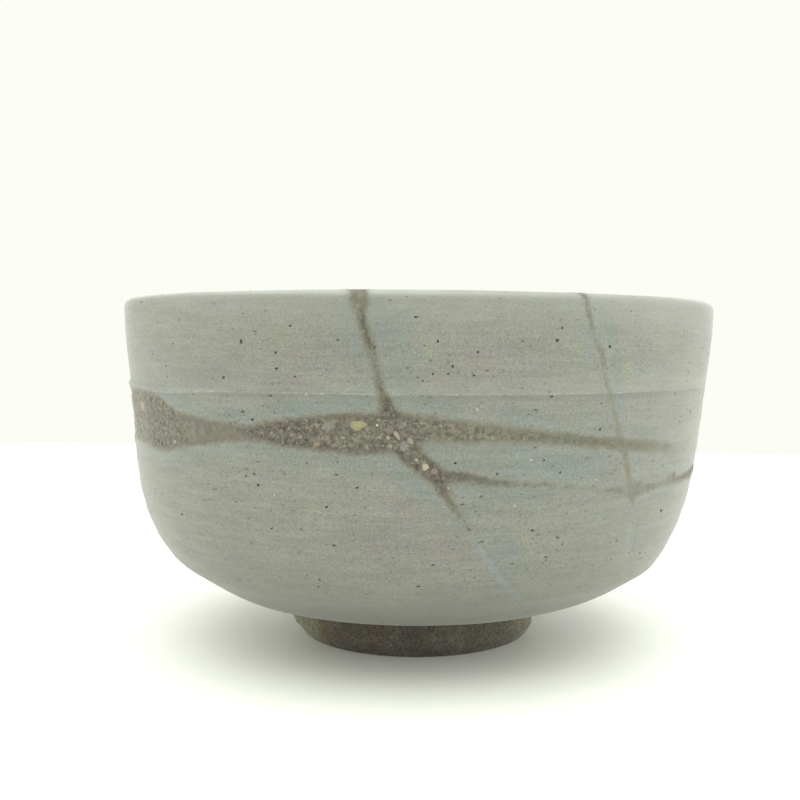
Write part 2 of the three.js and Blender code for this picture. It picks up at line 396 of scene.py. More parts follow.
def turned_grid():
    """Radius and height of each point, rows by columns, each row's stride and the row of each station."""
    side = np.sin(ANGLES)
    stops = stations(side)
    rows = [[stops[0]["radius"] + 0 * side, stops[0]["height"] + 0 * side]]
    strides, marks = [stops[1]["stride"]], [0]
    for start, end in zip(stops, stops[1:]):
        span = np.hypot(end["radius"] - start["radius"], end["height"] - start["height"]) + 0 * side
        steps = max(1, round(float(span.mean()) / end["spacing"]))
        for step in range(1, steps + 1):
            radius, height = between(start, end, step / steps)
            rows.append([radius + 0 * side, height + 0 * side])
            strides.append(end["stride"])
        marks.append(len(rows) - 1)
    radius = np.array([r for r, _ in rows])
    height = np.array([h for _, h in rows])
    share = np.maximum(0, (height - HIP_HEIGHT) / (HEIGHT - HIP_HEIGHT))
    return radius, height - RIM_FALL * side * share ** 2.25, strides, marks


ANGLES = column_angles()
grid_radius, grid_height, row_strides, station_rows = turned_grid()
UNDERSIDE_ROW, RIDGE_ROW, LIP_ROW = (station_rows[i] for i in (8, 11, 14))


def positions(radius, height):
    """Points in mm of a grid of radius and height."""
    return np.stack([radius * np.sin(ANGLES), -radius * np.cos(ANGLES), height], axis=-1)


def normals(points):
    """Outward unit normals of a grid of points."""
    up = np.gradient(points, axis=0)
    wrapped = np.concatenate([points[:, -1:], points, points[:, :1]], axis=1)
    round_it = wrapped[:, 2:] - wrapped[:, :-2]
    outward = np.cross(round_it, up)
    return outward / np.maximum(np.linalg.norm(outward, axis=-1, keepdims=True), 1e-9)


plain_points = positions(grid_radius, grid_height)
plain_normals = normals(plain_points)

# How far up the outline each point is, from where the foot meets the underside
steps_up = np.linalg.norm(np.diff(plain_points, axis=0), axis=-1)
way_up = np.concatenate([np.zeros((1, COLUMNS)), np.cumsum(steps_up, axis=0)])
way_up = way_up - way_up[UNDERSIDE_ROW]


# Places of the photo on the bowl

def to_photo(points):
    """Pixels of the photo at which points show."""
    away = points - np.array([0, -CAMERA_DISTANCE, CAMERA_HEIGHT])
    across = away[..., 0] * math.cos(CAMERA_YAW) + away[..., 1] * math.sin(CAMERA_YAW)
    onward = away[..., 1] * math.cos(CAMERA_YAW) - away[..., 0] * math.sin(CAMERA_YAW)
    depth = onward * math.cos(CAMERA_PITCH) - away[..., 2] * math.sin(CAMERA_PITCH)
    upward = onward * math.sin(CAMERA_PITCH) + away[..., 2] * math.cos(CAMERA_PITCH)
    centre = PHOTO_SIDE / 2
    return centre + FOCAL * across / depth, centre - FOCAL * upward / depth


outside = slice(UNDERSIDE_ROW, LIP_ROW + 1)
photo_x, photo_y = to_photo(plain_points[outside])
to_camera = np.array([0, -CAMERA_DISTANCE, CAMERA_HEIGHT]) - plain_points[outside]
turned_away = (plain_normals[outside] * to_camera).sum(axis=-1) < 0
HIDDEN_PENALTY = 1e6


def place(x, y):
    """Where a pixel of the photo falls on the outside: row and column of the grid, with fractions."""
    gap = (photo_x - x) ** 2 + (photo_y - y) ** 2 + HIDDEN_PENALTY * turned_away
    row, column = np.unravel_index(np.argmin(gap), gap.shape)
    row = min(max(row, 1), gap.shape[0] - 2)
    right, left = (column + 1) % COLUMNS, (column - 1) % COLUMNS
    turn = np.array([photo_x[row, right] - photo_x[row, left], photo_y[row, right] - photo_y[row, left]]) / 2
    rise = (np.array([photo_x[row + 1, column], photo_y[row + 1, column]])
            - np.array([photo_x[row - 1, column], photo_y[row - 1, column]])) / 2
    gap = np.array([x - photo_x[row, column], y - photo_y[row, column]])
    move = np.linalg.lstsq(np.stack([turn, rise], axis=1), gap, rcond=0.05)[0]
    return row + float(np.clip(move[1], -1, 1)) + UNDERSIDE_ROW, column + float(np.clip(move[0], -1, 1))


def round_and_up(row, column):
    """How far round from the front and how far up the outline a place of the grid is, in mm."""
    turns = np.interp(column, np.arange(-1, COLUMNS + 1),
                      np.concatenate([[ANGLES[-1] - 2 * math.pi], ANGLES, [2 * math.pi]]))
    turns = (turns + math.pi) % (2 * math.pi) - math.pi
    up = np.interp(row, np.arange(len(way_up)), way_up[:, int(round(column)) % COLUMNS])
    return REFERENCE_RADIUS * turns, up


def sideways(path):
    """Unit vectors across a path at each of its points."""
    along = np.gradient(path, axis=0)
    along = along / np.linalg.norm(along, axis=1, keepdims=True)
    return np.stack([-along[:, 1], along[:, 0]], axis=1)


def from_photo(stroke):
    """A stroke given in pixels as places on the bowl: round, up, half width and strength."""
    drawn = np.array(stroke, float)
    middles = np.array([round_and_up(*place(x, y)) for x, y in drawn[:, :2]])
    made = []
    for point, middle, aside, aside_there in zip(drawn, middles, sideways(drawn[:, :2]), sideways(middles)):
        edges = [point[:2] + way * point[2] * aside for way in (1, -1)]
        one, other = (np.array(round_and_up(*place(*edge))) for edge in edges)
        middle = middle + aside_there * (((one + other) / 2 - middle) @ aside_there)
        made.append([*middle, math.copysign((one - other) @ aside_there / 2, point[2]), point[3]])
    return made


def from_back(stroke):
    """A stroke given by degrees and heights as places on the bowl."""
    made = []
    for degrees, height, width, strength in stroke:
        column = int(np.argmin(np.abs((ANGLES - math.radians(degrees) + math.pi) % (2 * math.pi) - math.pi)))
        wall = slice(UNDERSIDE_ROW, LIP_ROW)
        up = np.interp(height, grid_height[wall, column], way_up[wall, column])
        made.append([REFERENCE_RADIUS * math.radians(degrees), up, width, strength])
    return made


def rounded(stroke, pieces=4):
    """A stroke with its points joined by a smooth curve."""
    points = np.array(stroke)
    padded = np.concatenate([[2 * points[0] - points[1]], points, [2 * points[-1] - points[-2]]])
    made = []
    for a, b, c, d in zip(padded, padded[1:], padded[2:], padded[3:]):
        for share in np.arange(pieces) / pieces:
            made.append(0.5 * (2 * b + (c - a) * share + (2 * a - 5 * b + 4 * c - d) * share ** 2
                               + (3 * b - 3 * c + d - a) * share ** 3))
    return np.array([*made, points[-1]])


def stroke_field(stroke):
    """Distance of each point of the grid from a stroke's edge, below 0 inside it, and its strength there."""
    round_it = REFERENCE_RADIUS * ((ANGLES + math.pi) % (2 * math.pi) - math.pi) + 0 * way_up
    distance = np.full(way_up.shape, FAR)
    strength = np.zeros(way_up.shape)
    for turn in (0, -FULL_TURN):
        across = round_it + turn
        for start, end in zip(stroke, stroke[1:]):
            run, rise = end[0] - start[0], end[1] - start[1]
            length = run * run + rise * rise + 1e-9
            share = np.clip(((across - start[0]) * run + (way_up - start[1]) * rise) / length, 0, 1)
            aside = np.hypot(across - start[0] - share * run, way_up - start[1] - share * rise)
            here = aside - (start[2] + share * (end[2] - start[2]))
            closer = here < distance
            distance = np.where(closer, here, distance)
            strength = np.where(closer, start[3] + share * (end[3] - start[3]), strength)
    return distance, strength


def merged(strokes, blending):
    """The strokes' fields run together, with soft corners where they meet."""
    fields = [stroke_field(rounded(stroke)) for stroke in strokes]
    distances = np.stack([distance for distance, _ in fields])
    strengths = np.stack([strength for _, strength in fields])
    weights = np.exp(-np.clip((distances - distances.min(axis=0)) / blending, 0, 40))
    distance = distances.min(axis=0) - blending * np.log(weights.sum(axis=0))
    return distance, (weights * strengths).sum(axis=0) / weights.sum(axis=0)


OVER_LIP = 9.0
BAND_BLENDING = 0.35
PATCH_BLENDING = 1.5


def over_the_lip(stroke):
    """A stroke that starts at the lip, with a start of its own on the inside, where it fades."""
    round_it, up, width, strength = stroke[0]
    faded, full = [round_it, up + OVER_LIP, width / 2, 0], [round_it, up + OVER_LIP / 3, width, strength]
    return [faded, full, *stroke]


def patch(strokes, outer=0.5, inner=-0.5):
    """How strongly strokes mark each point of the grid, rising from their outer edge to their inner one."""
    edge, strength = merged(strokes, PATCH_BLENDING)
    return smooth(outer, inner, edge) * strength


def all_from_photo(strokes):
    return [from_photo(stroke) for stroke in strokes]


main, fork, *others = all_from_photo([MAIN_BAND, FORK_BAND, DOWN_BAND, SMUDGE, WEB, SCRATCH])
round_the_back = [main[0], *from_back(BACK_MAIN), [fork[-1][0] - FULL_TURN, *fork[-1][1:]]]
drops = [over_the_lip(stroke) for stroke in (*all_from_photo([LEFT_DROP, RIGHT_DROP]), from_back(BACK_DROP))]
bare, bare_strength = merged([main, fork, *others, round_the_back, *drops], BAND_BLENDING)
line, line_strength = merged(all_from_photo([DOWN_LINE, RIGHT_LINE]), BAND_BLENDING)
strip, strip_strength = stroke_field(rounded(from_photo(RIGHT_STRIP)))
gritty_edge, gritty_strength = merged([*all_from_photo(GRITTY), from_back(BACK_GRITTY)], BAND_BLENDING)
gritty = smooth(0.5, -0.7, gritty_edge) * gritty_strength * smooth(0.1, -0.5, bare)
pale = patch([*all_from_photo(PALE), from_back(BACK_PALE)])
green = patch(all_from_photo(GREEN))
pooled = patch(all_from_photo(POOLED), 2.5, -1.5)


# Relief of the surface

def noise_field(points, size, seed, octaves=2):
    """Smooth noise from about -1 to 1 over a grid of points, with lumps of that size."""
    offset = Vector((seed * 17.3, seed * 5.1, seed * 9.7))
    flat = points.reshape(-1, 3) / size
    values = [noise.fractal(Vector(p) + offset, 1.0, 2.0, octaves) for p in flat.tolist()]
    return np.array(values).reshape(points.shape[:-1])


SUNK = 0.26  # depth of the bare bands below the glaze
BAND_SLOPE = (0.35, -0.55)  # distances from a band's edge between which it sinks
KEPT_LIP = (0.8, 6)  # distances from the lip between which a band begins to sink
ROLL = 0.07  # height of the glaze's rolled edge beside a band
ROLL_AT = 0.75
ROLL_WIDTH = 0.6
GRIT_RELIEF = 0.17
GRIT_SIZE = 1.1
SMOOTH_CLAY_SHARE = 0.3  # share of the grit's relief on clay without grit
RIPPLE = 0.045
RIPPLE_LENGTH = 5.6
RIPPLES_FROM = (24, 30)  # lengths up the outline between which the ripples begin
SWAY_SIZE = 30
UNEVEN = 0.07
UNEVEN_SIZE = 16
GROOVE = 0.10
GROOVE_WIDTH = 0.6
FOOT_RELIEF = 0.16
FOOT_GRAIN = 1.9
FOOT_LUMPS = 0.12
FOOT_LUMP_SIZE = 6


def relief():
    """How far each point stands out from the smooth outline, in mm."""
    rows = np.arange(len(way_up))[:, None]
    below_ridge = smooth(*RIPPLES_FROM, way_up) * (1 - smooth(-3, -1, rows - RIDGE_ROW))
    on_foot = 1 - smooth(-0.5, 1.5, way_up)
    sway = 0.8 * noise_field(plain_points * np.array([1, 1, 0.3]), SWAY_SIZE, 1)
    ripple = RIPPLE * np.sin(2 * math.pi * way_up / RIPPLE_LENGTH + 3 * sway) * below_ridge
    uneven = UNEVEN * noise_field(plain_points, UNEVEN_SIZE, 2)
    off_lip = np.abs(way_up - way_up[LIP_ROW])
    band = smooth(*BAND_SLOPE, bare) * np.clip(bare_strength, 0, 1) * smooth(*KEPT_LIP, off_lip)
    grittiness = SMOOTH_CLAY_SHARE + (1 - SMOOTH_CLAY_SHARE) * gritty
    grit = noise_field(plain_points, GRIT_SIZE, 3, 3) * GRIT_RELIEF * grittiness
    roll = ROLL * np.exp(-((bare - ROLL_AT) / ROLL_WIDTH) ** 2) * bare_strength
    groove = -GROOVE * np.exp(-(np.maximum(line, 0) / GROOVE_WIDTH) ** 2) * line_strength
    grain = FOOT_RELIEF * noise_field(plain_points, FOOT_GRAIN, 4, 3)
    rough = grain + FOOT_LUMPS * noise_field(plain_points, FOOT_LUMP_SIZE, 5)
    return (ripple + uneven) * (1 - on_foot) + band * (grit - SUNK) + roll + groove + rough * on_foot


# Points of the foot's face stay level with what the bowl stands on
standing = smooth(0, 0.35, plain_points[..., 2])
points = plain_points + plain_normals * (relief() * standing)[..., None]
point_normals = normals(points)


# Meshes

def linked(name, data):
    """A new object in the scene."""
    made = bpy.data.objects.new(name, data)
    bpy.context.scene.collection.objects.link(made)
    return made


def new_object(name, vertices, faces, material):
    """A mesh object from points in mm."""
    mesh = bpy.data.meshes.new(name)
    mesh.from_pydata((np.asarray(vertices) * METRES).tolist(), [], faces)
    mesh.shade_smooth()
    mesh.materials.append(material)
    mesh.validate()
    return linked(name, mesh)


def store(piece, name, values):
    """Stores one number for each vertex of a piece."""
    attribute = piece.data.attributes.new(name, "FLOAT", "POINT")
    attribute.data.foreach_set("value", np.asarray(values, np.float32))


def store_colour(piece, name, colours):
    attribute = piece.data.attributes.new(name, "FLOAT_COLOR", "POINT")
    attribute.data.foreach_set("color", np.asarray(colours, np.float32).ravel())


def ring_faces(lower, upper):
    """Faces between two closed rows of vertices, where one may have twice or four times as many."""
    if len(lower) == len(upper):
        after = np.roll(lower, -1), np.roll(upper, -1)
        return np.stack([lower, after[0], after[1], upper], axis=1).tolist()
    fine, coarse, flipped = (lower, upper, False) if len(lower) > len(upper) else (upper, lower, True)
    ratio = len(fine) // len(coarse)
    faces = []
    for index, corner in enumerate(coarse):
        after = coarse[(index + 1) % len(coarse)]
        run = [fine[(index * ratio + step) % len(fine)] for step in range(ratio + 1)]
        middle = ratio // 2
        made = [[run[step], run[step + 1], corner] for step in range(middle)]
        made.append([run[middle], after, corner])
        made += [[run[step], run[step + 1], after] for step in range(middle, ratio)]
        faces += [face[::-1] for face in made] if flipped else made
    return faces


def bowl_mesh(material):
    """The bowl as one closed mesh, with the fields that its material reads."""
    rings, vertices, kept = [], [], []
    for row, stride in enumerate(row_strides):
        columns = np.arange(0, COLUMNS, stride)
        rings.append(np.arange(len(vertices), len(vertices) + len(columns)))
        vertices.extend(points[row, columns])
        kept.extend((row, column) for column in columns)
    faces = []
    for lower, upper in zip(rings, rings[1:]):
        faces += ring_faces(lower, upper)
    for ring, row in ((rings[0], 0), (rings[-1], len(rings) - 1)):
        vertices.append(points[row].mean(axis=0))
        kept.append((row, 0))
        hub = len(vertices) - 1
        after = np.roll(ring, -1)
        fan = np.stack([ring, np.full(len(ring), hub), after] if row == 0 else
                       [ring, after, np.full(len(ring), hub)], axis=1)
        faces += fan.tolist()
    made = new_object("glazed_bowl", vertices, faces, material)
    rows, columns = np.array(kept).T
    fields = dict(bare=bare, bare_strength=bare_strength, line=line, line_strength=line_strength,
                  strip=strip, strip_strength=strip_strength, way_up=way_up, gritty=gritty, pale=pale,
                  green=green, pooled=pooled, above_ridge=way_up - way_up[RIDGE_ROW])
    for name, field in fields.items():
        store(made, name, field[rows, columns])
    return made


# Materials

REFRACTION = 1.5  # of the glaze and of the stones in the clay


class Shader:
    """A material's nodes, made by short calls that give back a socket."""

    def __init__(self, name):
        self.material = bpy.data.materials.new(name)
        self.material.use_nodes = True
        self.tree = self.material.node_tree
        self.tree.nodes.clear()

    def node(self, kind, sockets=(), **settings):
        made = self.tree.nodes.new(kind)
        for name, setting in settings.items():
            setattr(made, name, setting)
        for name, source in dict(sockets).items():
            if isinstance(source, bpy.types.NodeSocket):
                self.tree.links.new(source, made.inputs[name])
            else:
                made.inputs[name].default_value = source
        return made

    def attribute(self, name):
        return self.node("ShaderNodeAttribute", attribute_name=name).outputs["Fac"]

    def attribute_colour(self, name):
        return self.node("ShaderNodeAttribute", attribute_name=name).outputs["Color"]

    def math(self, operation, first, second=0.0):
        return self.node("ShaderNodeMath", {0: first, 1: second}, operation=operation).outputs[0]

    def rise(self, value, low, high, bottom=0.0, top=1.0):
        """Smooth step from bottom at low to top at high."""
        sockets = {"Value": value, "From Min": low, "From Max": high, "To Min": bottom, "To Max": top}
        return self.node("ShaderNodeMapRange", sockets, interpolation_type="SMOOTHSTEP").outputs["Result"]

    def mix(self, share, first, second, blend="MIX"):
        sockets = {0: share, 6: first, 7: second}
        return self.node("ShaderNodeMix", sockets, data_type="RGBA", blend_type=blend).outputs[2]

    def place(self, scale=(1, 1, 1)):
        """The point in metres in the bowl's own frame, stretched by scale."""
        where = self.node("ShaderNodeTexCoord").outputs["Object"]
        return self.node("ShaderNodeMapping", {"Vector": where, "Scale": scale}).outputs["Vector"]

    def noise(self, where, size, detail=2.0, roughness=0.5):
        """Noise from 0 to 1 with lumps of a size in mm."""
        sockets = {"Vector": where, "Scale": 1 / (size * METRES), "Detail": detail, "Roughness": roughness}
        return self.node("ShaderNodeTexNoise", sockets).outputs["Fac"]

    def tints(self, where, size, detail=2.0):
        """Noise in colour with lumps of a size in mm."""
        sockets = {"Vector": where, "Scale": 1 / (size * METRES), "Detail": detail}
        return self.node("ShaderNodeTexNoise", sockets).outputs["Color"]

    def bent(self, start, where, size, reach):
        """A place pushed about by noise with lumps of a size, both in mm."""
        sockets = {0: self.tints(where, size), "Scale": reach * METRES}
        push = self.node("ShaderNodeVectorMath", sockets, operation="SCALE").outputs[0]
        return self.node("ShaderNodeVectorMath", {0: start, 1: push}).outputs[0]

    def across(self, where):
        """How far to the right of the axis a place is, in mm."""
        return self.math("DIVIDE", self.node("ShaderNodeSeparateXYZ", {0: where}).outputs["X"], METRES)

    def stroked(self, name, outer, inner):
        """How strongly strokes mark a point, rising from their outer edge to their inner one."""
        share = self.rise(self.attribute(name), outer, inner)
        return self.times(share, self.attribute(name + "_strength"))

    def cells(self, where, size, feature="F1"):
        """Voronoi cells of a size in mm."""
        sockets = {"Vector": where, "Scale": 1 / (size * METRES)}
        return self.node("ShaderNodeTexVoronoi", sockets, feature=feature).outputs

    def ramp(self, value, *stops):
        """A colour ramp from (place, colour) stops."""
        made = self.node("ShaderNodeValToRGB", {"Fac": value})
        ramp = made.color_ramp
        for index, (where, colour) in enumerate(stops):
            element = ramp.elements[index] if index < 2 else ramp.elements.new(where)
            element.position = where
            element.color = linear(colour)
        return made.outputs["Color"]

    def times(self, *shares):
        """The product of several sockets or numbers."""
        product = shares[0]
        for share in shares[1:]:
            product = self.math("MULTIPLY", product, share)
        return product

    def largest(self, *values):
        largest = values[0]
        for value in values[1:]:
            largest = self.math("MAXIMUM", largest, value)
        return largest

    def coats(self, colour, *coats):
        """A colour with coats over it, each given as its share and its colour in bytes."""
        for share, tone in coats:
            colour = self.mix(share, colour, linear(tone))
        return colour

    def lightened(self, colour, value, low, high):
        """A colour made darker or lighter by a value from 0 to 1: times low up to times high."""
        factor = self.rise(value, 0.3, 0.7, low, high)
        return self.mix(1.0, colour, factor, "MULTIPLY")

    def chosen(self, cell, seed, share):
        """1 in a random share of the cells."""
        number = self.math("FRACT", self.times(cell["Color"], seed))
        return self.math("LESS_THAN", number, share)

    def bump(self, height, distance, strength=1.0, normal=None):
        sockets = {"Height": height, "Distance": distance * METRES, "Strength": strength}
        if normal is not None:
            sockets["Normal"] = normal
        return self.node("ShaderNodeBump", sockets).outputs["Normal"]

    def finish(self, **inputs):
        surface = self.node("ShaderNodeBsdfPrincipled", inputs).outputs["BSDF"]
        self.node("ShaderNodeOutputMaterial", {"Surface": surface})
        return self.material


def glaze_colour(shader, where, bare_distance, strength):
    """The glaze: grey, bluish near the bands and in patches, pinkish elsewhere, with pale edges."""
    pinkish = shader.rise(shader.noise(where, 17, 2.5), 0.42, 0.62)
    near = shader.times(shader.rise(bare_distance, 5.5, 1.2), shader.rise(strength, 0.1, 1.0))
    wander = shader.rise(shader.noise(where, 9, 2), 0.3, 0.7, 0.3, 1)
    patchy = shader.rise(shader.noise(where, 13, 2), 0.5, 0.68, 0, 0.3)
    uneven = shader.rise(shader.noise(where, 5, 2), 0.25, 0.6, 0.5, 1)
    in_pool = shader.times(shader.attribute("pooled"), uneven)
    in_strip = shader.stroked("strip", 1.2, -0.8)
    bluish = shader.largest(shader.times(near, wander), patchy, in_strip, in_pool)
    edge = shader.times(shader.rise(bare_distance, 1.3, 0.3), strength, 0.6)
    in_line = shader.stroked("line", 0.6, -0.2)
    return shader.coats(linear(GLAZE), (pinkish, GLAZE_PINK), (bluish, GLAZE_BLUE), (edge, GLAZE_EDGE),
                        (in_line, GLAZE_LINE))


# Iron spots within the glaze: the size of their cells in mm, their radius as a share of that size, the share
# of cells that have one, and how dark they are
IRON_SPOTS = [(0.9, 0.3, 0.45, 0.4), (1.7, 0.2, 0.4, 0.7), (3.2, 0.12, 0.35, 0.9)]


def weathered(shader, colour, where):
    """Fine mottling in tone and tint, throwing lines and small iron spots over the glaze."""
    colour = shader.mix(0.1, colour, shader.tints(where, 2.4, 3.0), "SOFT_LIGHT")
    colour = shader.lightened(colour, shader.noise(where, 0.34, 3, 0.8), 0.78, 1.22)
    colour = shader.lightened(colour, shader.noise(shader.place((0.06, 0.06, 1)), 0.8, 3, 0.65), 0.93, 1.07)
    colour = shader.lightened(colour, shader.noise(shader.place((0.3, 0.3, 1)), 2.2, 3, 0.6), 0.95, 1.05)
    moved = shader.bent(shader.place((0.7, 0.7, 1.3)), where, 0.5, 0.5)
    crowded = shader.rise(shader.noise(where, 8, 1), 0.4, 0.6, 0.35, 1)
    for size, reach, share, depth in IRON_SPOTS:
        cell = shader.cells(moved, size)
        spot = shader.rise(cell["Distance"], reach, reach * 0.4)
        spot = shader.times(spot, shader.chosen(cell, 7.0, share), crowded, depth)
        colour = shader.coats(colour, (spot, SPECK))
    return colour


GRAIN_CELL = 0.7


def grain_mosaic(shader, where, clay, paleness):
    """Grains of sand side by side, each in its own tone, with dark gaps. The tones are given back too."""
    moved = shader.bent(where, where, 0.4, 0.45)
    tone = shader.math("FRACT", shader.times(shader.cells(moved, GRAIN_CELL)["Color"], 5.0))
    grains = shader.ramp(tone, (0.0, GRAIN_DARK), (1.0, GRAIN_CREAM), (0.4, GRAIN_BROWN), (0.85, GRAIN_GREY))
    grains = shader.mix(0.35, grains, clay)
    to_edge = shader.cells(moved, GRAIN_CELL, "DISTANCE_TO_EDGE")["Distance"]
    gap = shader.rise(to_edge, 0.02, 0.14, 0.55, 0.0)
    return shader.coats(grains, (gap, GRAIN_DARK), (shader.times(paleness, 0.45), CLAY_PALE)), tone


def clay_colour(shader, where, bare_distance):
    """Bare clay: soft brown and olive, darker at its edge, with a mosaic of grains where it is gritty."""
    drift = shader.noise(where, 3.4, 3)
    colour = shader.ramp(drift, (0.3, CLAY_OLIVE), (0.66, CLAY_LILAC), (0.42, CLAY_SOFT), (0.54, CLAY_BROWN))
    lumpy = shader.noise(where, 1.3, 3, 0.7)
    colour = shader.lightened(colour, lumpy, 0.78, 1.22)
    colour = shader.lightened(colour, shader.noise(where, 0.45, 3, 0.75), 0.78, 1.22)
    paleness = shader.attribute("pale")
    greenness = shader.attribute("green")
    by_edge = shader.rise(bare_distance, -1.3, -0.1, 0, 0.8)
    by_edge = shader.times(by_edge, shader.rise(paleness, 0, 1, 1, 0.15))
    colour = shader.mix(by_edge, colour, shader.mix(greenness, linear(CLAY_EDGE), linear(CLAY_GREEN)))
    greens = shader.ramp(lumpy, (0.35, CLAY_GREEN), (0.7, CLAY_PALE), (0.55, CLAY_OLIVE))
    colour = shader.mix(shader.times(greenness, 0.6), colour, greens)
    colour = shader.lightened(colour, shader.noise(where, 0.35, 2, 0.7), 0.85, 1.15)
    colour = shader.coats(colour, (shader.times(paleness, 0.62), CLAY_PALE))
    grittiness = shader.attribute("gritty")
    grains, tone = grain_mosaic(shader, where, colour, paleness)
    crowded = shader.rise(shader.noise(where, 2.4, 2), 0.35, 0.6, 0.2, 0.95)
    colour = shader.mix(shader.times(shader.rise(grittiness, 0, 0.6, 0.3, 1), crowded), colour, grains)
    mottling = shader.rise(shader.noise(where, 0.75, 3, 0.7), 0.36, 0.64, 0.62, 1.32)
    mottled = shader.mix(1.0, colour, mottling, "MULTIPLY")
    return shader.mix(shader.rise(grittiness, 0.1, 0.6), colour, mottled), tone


# Steps of painted light by which the foot's clay grows paler to the sides, where light grazes it: start and
# end in mm, and strength
FOOT_PAINTED_LIGHT_STEPS = [(-17.5, -23, 0.95), (3, 10, 0.1), (17, 22.8, 0.7)]


def foot_colour(shader, where):
    """The foot's bare clay: dark purple-brown and rough, washed with olive on the left, with painted light
    that makes it paler towards both ends.
    """
    across = shader.across(where)
    blotches = shader.noise(where, 4.5, 4, 0.6)
    washed = shader.times(shader.rise(across, -14, -23), shader.rise(blotches, 0.3, 0.6, 0.5, 1))
    # Painted light: the foot paler towards its ends, where light grazes it
    paler = [(shader.rise(across, start, end, 0, share), FOOT_PAINTED_LIGHT) for start, end, share in FOOT_PAINTED_LIGHT_STEPS]
    colour = shader.ramp(blotches, (0.3, FOOT), (0.72, FOOT_GREY), (0.5, FOOT_BROWN))
    colour = shader.coats(colour, (washed, FOOT_OLIVE), *paler)
    colour = shader.lightened(colour, shader.noise(where, 0.5, 3, 0.8), 0.45, 1.55)
    return shader.mix(0.3, colour, shader.tints(where, 1.4, 3.0), "SOFT_LIGHT")


def painted_light_and_thin_glaze(shader, glaze, where, way):
    """Painted light and shade on the glaze by height: painted shade under the ridge and low down, a painted
    band of light above the ridge, a pale ridge line that is partly thinner glaze and partly a painted
    highlight, glaze paler by the lip, and a painted highlight along the lip.
    """
    across = shader.across(where)
    above_ridge = shader.attribute("above_ridge")
    # Painted shade just under the ridge, and a painted band of light above it that is stronger to the right
    below = shader.times(shader.rise(above_ridge, -1.8, -0.3), shader.rise(above_ridge, 0.05, -0.2), 0.3)
    above = shader.times(shader.rise(above_ridge, 4.6, 0.4), shader.rise(above_ridge, -0.15, 0.05),
                         shader.rise(across, -20, 10, 0.14, 0.32))
    # The ridge line: partly thinner glaze, partly a painted highlight that fades out to the right
    broken = shader.rise(shader.noise(where, 1.2, 3, 0.7), 0.45, 0.78, 0.08, 0.75)
    on_ridge = shader.times(shader.rise(shader.math("ABSOLUTE", above_ridge), 0.24, 0.04),
                            shader.rise(across, 48, 26, 0.15, 1), broken)
    off_lip = shader.math("ABSOLUTE", shader.math("SUBTRACT", way, float(way_up[LIP_ROW].mean())))
    by_lip = shader.times(shader.rise(off_lip, 9, 2, 0, 0.4), shader.rise(across, -52, -30, 0.1, 1))
    on_lip = shader.times(shader.rise(off_lip, 2.4, 0.8), shader.rise(across, 40, 20, 0.3, 0.7))
    # A painted highlight along the lip, stronger on the left than on the right
    patchy = shader.rise(shader.noise(where, 7, 3, 0.6), 0.36, 0.62, 0.55, 0.85)
    lip_highlight = shader.times(shader.rise(off_lip, 1.8, 0.9), patchy, shader.rise(across, -20, 30, 1.15, 0.6))
    # Painted shade low down on the body, deepest in the middle of the front
    off_middle = shader.math("ABSOLUTE", shader.math("ADD", across, 3))
    low = shader.times(shader.rise(way, 38, 9, 0, 0.85), shader.rise(off_middle, 36, 12, 0.88, 1.12))
    return shader.coats(glaze, (below, GLAZE_SHADE), (above, GLAZE_RIDGE_LIGHT), (on_ridge, GLAZE_HIGHLIGHT),
                        (by_lip, GLAZE_RIM), (on_lip, GLAZE_RIM), (lip_highlight, GLAZE_HIGHLIGHT), (low, GLAZE_LOW_SHADE))


def bowl_material():
    """Glaze over the bowl, with the bare bands and the bare foot cut out of it."""
    shader = Shader("ash_glaze_and_bare_clay")
    where = shader.place()
    way = shader.attribute("way_up")
    strength = shader.attribute("bare_strength")
    ragged = shader.rise(shader.noise(where, 1.1, 3, 0.65), 0.3, 0.7, -0.22, 0.22)
    bare_distance = shader.math("ADD", shader.attribute("bare"), ragged)
    band_share = shader.times(shader.rise(bare_distance, 1.05, -0.5), shader.rise(strength, 0.0, 0.9))
    foot_edge = shader.math("ADD", way, shader.times(shader.noise(where, 5, 3), -1.5))
    foot_share = shader.rise(foot_edge, 0.8, 0.2)

    glaze = weathered(shader, glaze_colour(shader, where, bare_distance, strength), where)
    glaze = painted_light_and_thin_glaze(shader, glaze, where, way)
    clay, grain_tone = clay_colour(shader, where, bare_distance)
    colour = shader.mix(band_share, glaze, clay)
    colour = shader.mix(foot_share, colour, foot_colour(shader, where))

    uncovered = shader.math("MAXIMUM", band_share, foot_share)
    roughness = shader.rise(uncovered, 0, 1, 0.44, 0.75)
    skin = shader.bump(shader.noise(where, 0.6, 3, 0.7), 0.03, 0.6)
    lines = shader.bump(shader.noise(shader.place((0.08, 0.08, 1)), 1.1, 2), 0.05, 0.5, skin)
    grit_height = shader.times(grain_tone, band_share, shader.attribute("gritty"))
    gritty_skin = shader.bump(grit_height, 0.12, 0.7, lines)
    rough_height = shader.times(shader.noise(where, 0.7, 4, 0.7), foot_share)
    rough = shader.bump(rough_height, 0.15, 0.9, gritty_skin)
    return shader.finish(**{"Base Color": colour, "Roughness": roughness, "Normal": rough, "IOR": REFRACTION,
                            "Sheen Weight": 0.2, "Sheen Roughness": 0.35})


def grain_material(name, roughness):
    """Stones and specks, each in its own colour."""
    shader = Shader(name)
    where = shader.place()
    colour = shader.lightened(shader.attribute_colour("tint"), shader.noise(where, 0.35, 3, 0.7), 0.8, 1.2)
    skin = shader.bump(shader.noise(where, 0.3, 2), 0.04, 0.6)
    return shader.finish(**{"Base Color": colour, "Roughness": roughness, "Normal": skin, "IOR": REFRACTION})


# Stones in the bands and specks in the glaze

